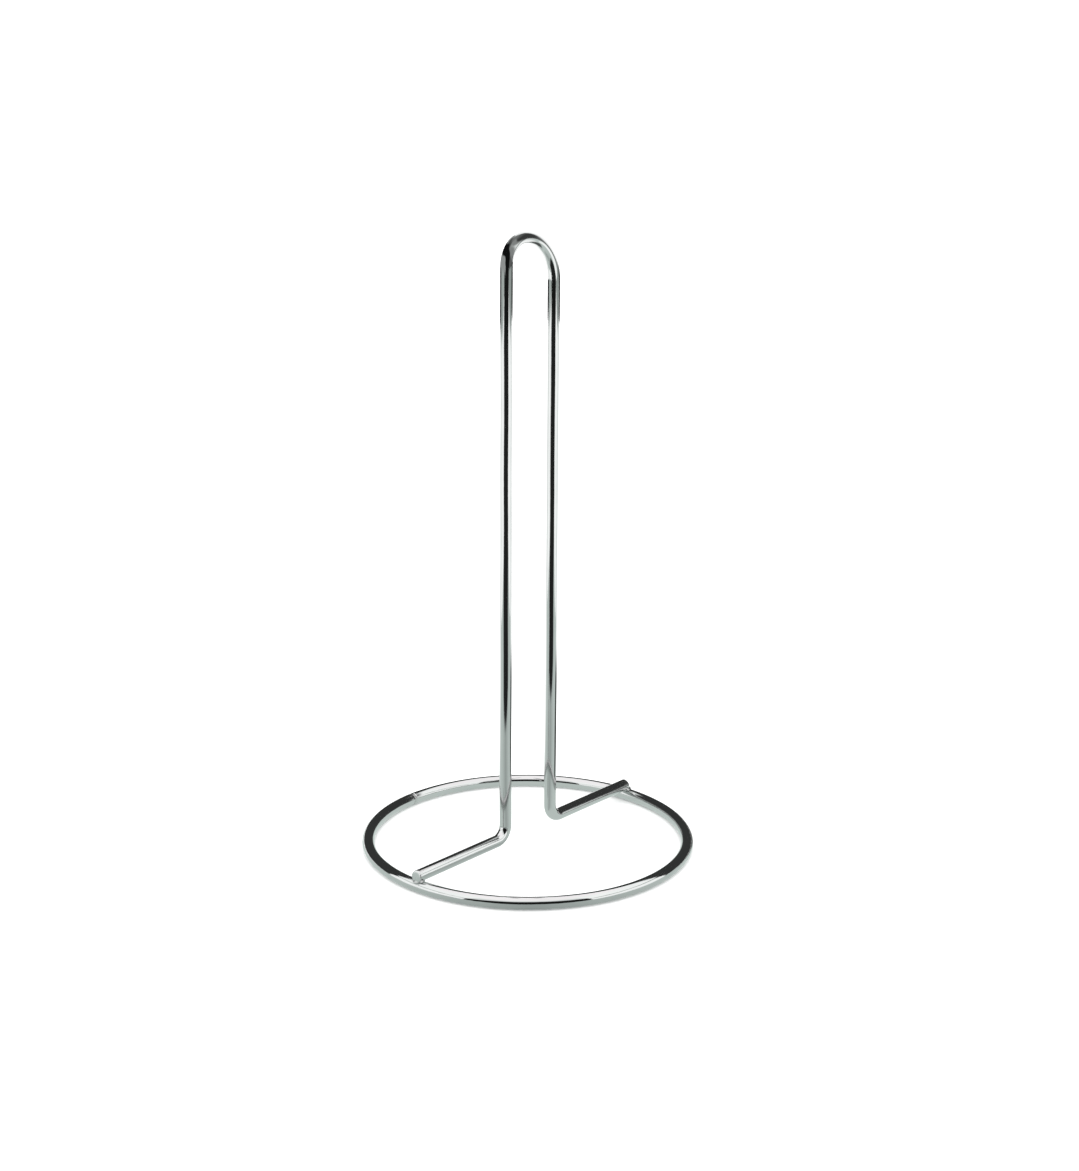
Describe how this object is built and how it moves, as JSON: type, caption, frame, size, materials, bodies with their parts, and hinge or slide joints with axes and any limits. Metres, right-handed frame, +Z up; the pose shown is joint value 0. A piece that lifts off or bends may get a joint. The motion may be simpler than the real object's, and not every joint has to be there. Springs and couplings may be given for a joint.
{
  "type": "paper towel holder",
  "caption": "Free-standing bent-wire holder for a kitchen roll: a tall hairpin spindle whose out-turned feet are welded across a round wire base ring, all bright plated.",
  "frame": {"origin": "centre of the base ring, on the surface that the holder stands on", "axes": "+Z up along the hairpin spindle; X along the line of the two feet, with the longer foot towards -X; Y square to the plane of the hairpin"},
  "size_m": [0.165, 0.165, 0.3055],
  "materials": {
    "plated_wire": "bright chrome plate over drawn steel wire",
    "plated_weld": "bright chrome plate over as-welded metal, slightly duller than the wire"
  },
  "bodies": {
    "root": {"base_ring": "plated_wire", "ring_seam_weld": "plated_weld", "upright_wire": "plated_wire", "long_foot_weld": "plated_weld", "short_foot_weld": "plated_weld"}
  },
  "joints": []
}
